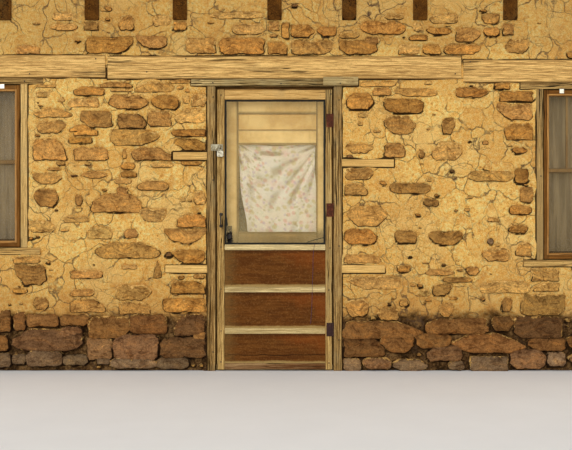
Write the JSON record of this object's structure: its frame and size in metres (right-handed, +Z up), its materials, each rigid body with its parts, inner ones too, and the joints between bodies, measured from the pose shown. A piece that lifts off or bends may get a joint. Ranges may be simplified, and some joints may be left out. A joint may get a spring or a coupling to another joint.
{
  "type": "adobe house",
  "caption": "One-room flat-roofed house of rubble stone in adobe mud, with timber lintels, a screen door over a glazed front door, sash windows and projecting joist ends.",
  "frame": {"origin": "on the ground at the middle of the walls' footprint", "axes": "+X along the front wall to the right of somebody facing it, +Y from the front to the back, +Z up"},
  "size_m": [7.024, 5.183, 3.11],
  "materials": {
    "masonry": "rubble sandstone in golden mud mortar, partly plastered",
    "roof_earth": "packed earth",
    "floor_earth": "beaten earth",
    "roof_boards": "rough sawn",
    "joist_wood": "weathered dark end grain",
    "lintel_wood": "golden tan, rough, cracked",
    "block_wood": "rough, weathered",
    "frame_wood": "weathered grey-tan, streaked",
    "grey_wood": "silver grey, weathered",
    "dark_wood": "dark brown",
    "stained_wood": "reddish-brown stain",
    "orange_wood": "orange-brown stain, worn",
    "cream_paint": "old cream paint on wood",
    "wire_cloth": "dull fine wire cloth",
    "rusty_iron": "rust-red iron",
    "worn_iron": "worn bare iron",
    "black_iron": "black iron",
    "zinc": "galvanised, dull",
    "padlock_steel": "dull laminated steel",
    "glass": "dusty window glass",
    "flowered_cloth": "faded cotton with small flowers",
    "net_cloth": "grey net",
    "string": "dark purple-grey string"
  },
  "bodies": {
    "house": {"front_wall_left": "masonry", "front_wall_right": "masonry", "front_wall_top": "masonry", "back_wall": "masonry", "back_wall_top": "masonry", "left_wall": "masonry", "right_wall": "masonry", "parapet": "masonry", "roof_earth": "roof_earth", "roof_boards": "roof_boards", "roof_joists": "joist_wood", "roof_drains": "grey_wood", "earth_floor": "floor_earth", "door_lintel": "lintel_wood", "window_lintels": "lintel_wood", "nailing_blocks": "block_wood", "door_jambs": "frame_wood", "door_head": "grey_wood", "door_head_patch": "grey_wood", "door_stops": "dark_wood", "door_sill": "grey_wood", "jamb_hinge_leaves": "rusty_iron", "window_jambs": "orange_wood", "window_heads": "frame_wood", "window_sills": "frame_wood", "window_screens": "orange_wood", "window_screen_wire": "wire_cloth", "upper_sashes": "cream_paint", "lower_sashes": "cream_paint", "window_panes": "glass", "net_curtains": "net_cloth"},
    "screen_door": {"screen_door_stiles": "frame_wood", "screen_door_rails": "frame_wood", "screen_door_panels": "stained_wood", "screen_door_wire": "wire_cloth", "screen_door_hinges": "rusty_iron", "screen_door_pull": "worn_iron", "hasp": "zinc", "padlock": "padlock_steel", "door_string": "string"},
    "front_door": {"front_door_stiles": "cream_paint", "front_door_rails": "cream_paint", "front_door_panels": "cream_paint", "front_door_glass": "glass", "front_door_curtain": "flowered_cloth", "front_door_hinges": "worn_iron", "front_door_knobs": "black_iron"}
  },
  "joints": [
    {"name": "screen_door_hinge", "type": "hinge", "parent": "house", "child": "screen_door", "pos_m": [0.41175, -2.406, 1], "axis": [0, 0, 1], "range_deg": [0, 150]},
    {"name": "front_door_hinge", "type": "hinge", "parent": "house", "child": "front_door", "pos_m": [0.413, -2.254, 1], "axis": [0, 0, 1], "range_deg": [-90, 0]}
  ]
}
